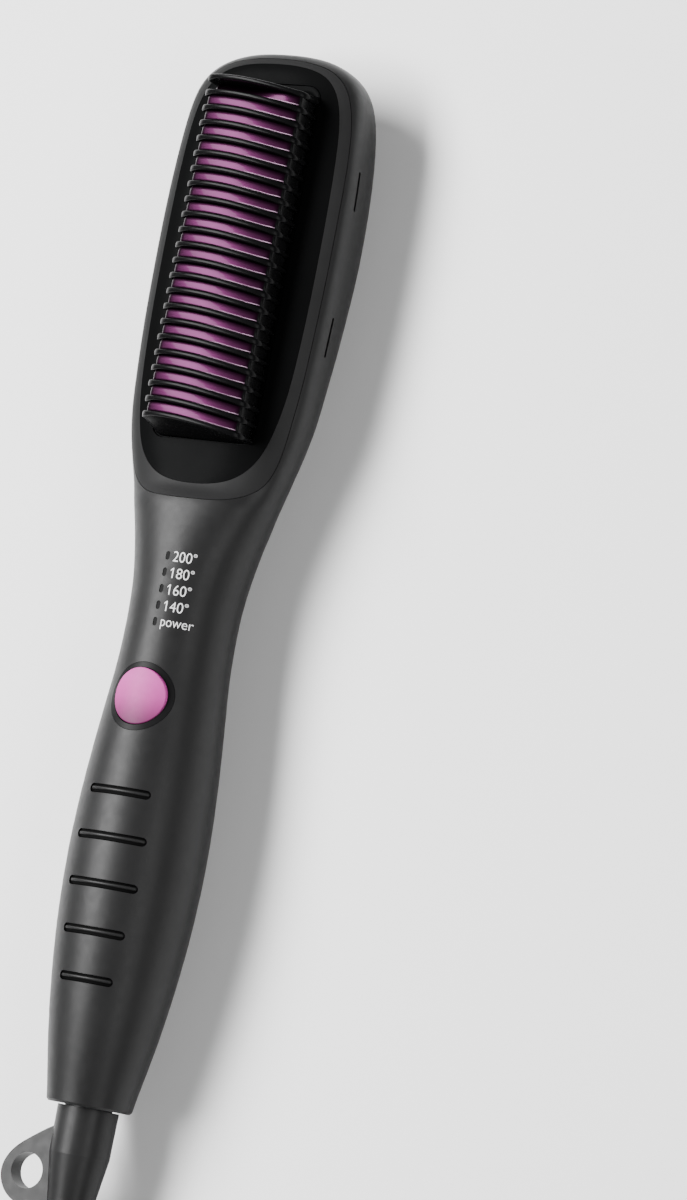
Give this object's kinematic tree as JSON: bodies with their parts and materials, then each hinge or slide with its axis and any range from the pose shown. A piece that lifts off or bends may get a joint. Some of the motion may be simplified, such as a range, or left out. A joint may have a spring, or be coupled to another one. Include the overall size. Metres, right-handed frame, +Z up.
{
  "type": "hair straightening brush",
  "caption": "Electric hair straightening brush: round handle with power button, comb head with heated metal fins between plastic ribs, turning cord outlet with hanging eye.",
  "frame": {"origin": "centre of the bounding box in X and Y, on the surface that the brush lies on with its comb upwards", "axes": "+X across the head, +Y along the handle towards the comb head, +Z up out of the comb face"},
  "size_m": [0.0532, 0.3027, 0.0364],
  "materials": {
    "housing": "satin black moulded plastic",
    "bezel": "satin black moulded plastic, slightly lighter",
    "gloss_panel": "high gloss black",
    "comb": "semi gloss black heat resistant plastic",
    "heating_plate": "purple anodised, glossy",
    "film": "amber insulating film",
    "ceramic_heater": "white ceramic heating blocks with foil",
    "bare_aluminium": "bare pressed sheet",
    "tray": "black heat resistant moulding",
    "screw_steel": "zinc plated",
    "thermistor": "epoxy bead",
    "fuse": "metal can",
    "board": "green circuit board",
    "chip": "black epoxy package",
    "capacitor": "yellow film capacitor",
    "led": "clear LED lens",
    "light_guide": "smoked clear plastic",
    "switch": "black switch body",
    "button": "satin pink metallic",
    "collar": "semi gloss black",
    "contact_brass": "plain brass",
    "wire": "insulated wire",
    "heater_wire": "silicone insulated wire",
    "sleeve": "black flexible moulding"
  },
  "bodies": {
    "brush": {"front_housing": "housing", "rear_cover": "housing", "head_bezel": "bezel", "comb_base_panel": "gloss_panel", "comb_frame": "comb", "heating_plate": "heating_plate", "heater_insulator": "film", "ptc_heaters": "ceramic_heater", "heater_clamp_plate": "bare_aluminium", "heater_tray": "tray", "heater_screws": "screw_steel", "thermistor": "thermistor", "thermal_fuse": "fuse", "main_pcb": "board", "pcb_screws": "screw_steel", "microcontroller": "chip", "power_triac": "chip", "filter_capacitor": "capacitor", "indicator_leds": "led", "light_guide": "light_guide", "switch_base": "switch", "button_collar": "collar", "housing_screws": "screw_steel", "contact_block": "tray", "contact_springs": "contact_brass", "mains_wires": "wire", "heater_wires": "heater_wire"},
    "button": {"power_button": "button", "switch_plunger": "switch"},
    "swivel": {"swivel_core": "tray", "slip_rings": "contact_brass", "cord_sleeve": "sleeve"}
  },
  "joints": [
    {"name": "button_press", "type": "slide", "parent": "brush", "child": "button", "axis": [0, 0, -1], "range_m": [0, 0.0008], "stiffness_N_per_m": 1500, "springref_m": -0.0004},
    {"name": "cord_swivel", "type": "hinge", "parent": "brush", "child": "swivel", "pos_m": [0, -0.12025, 0.01745], "axis": [0, 1, 0], "continuous": true}
  ]
}
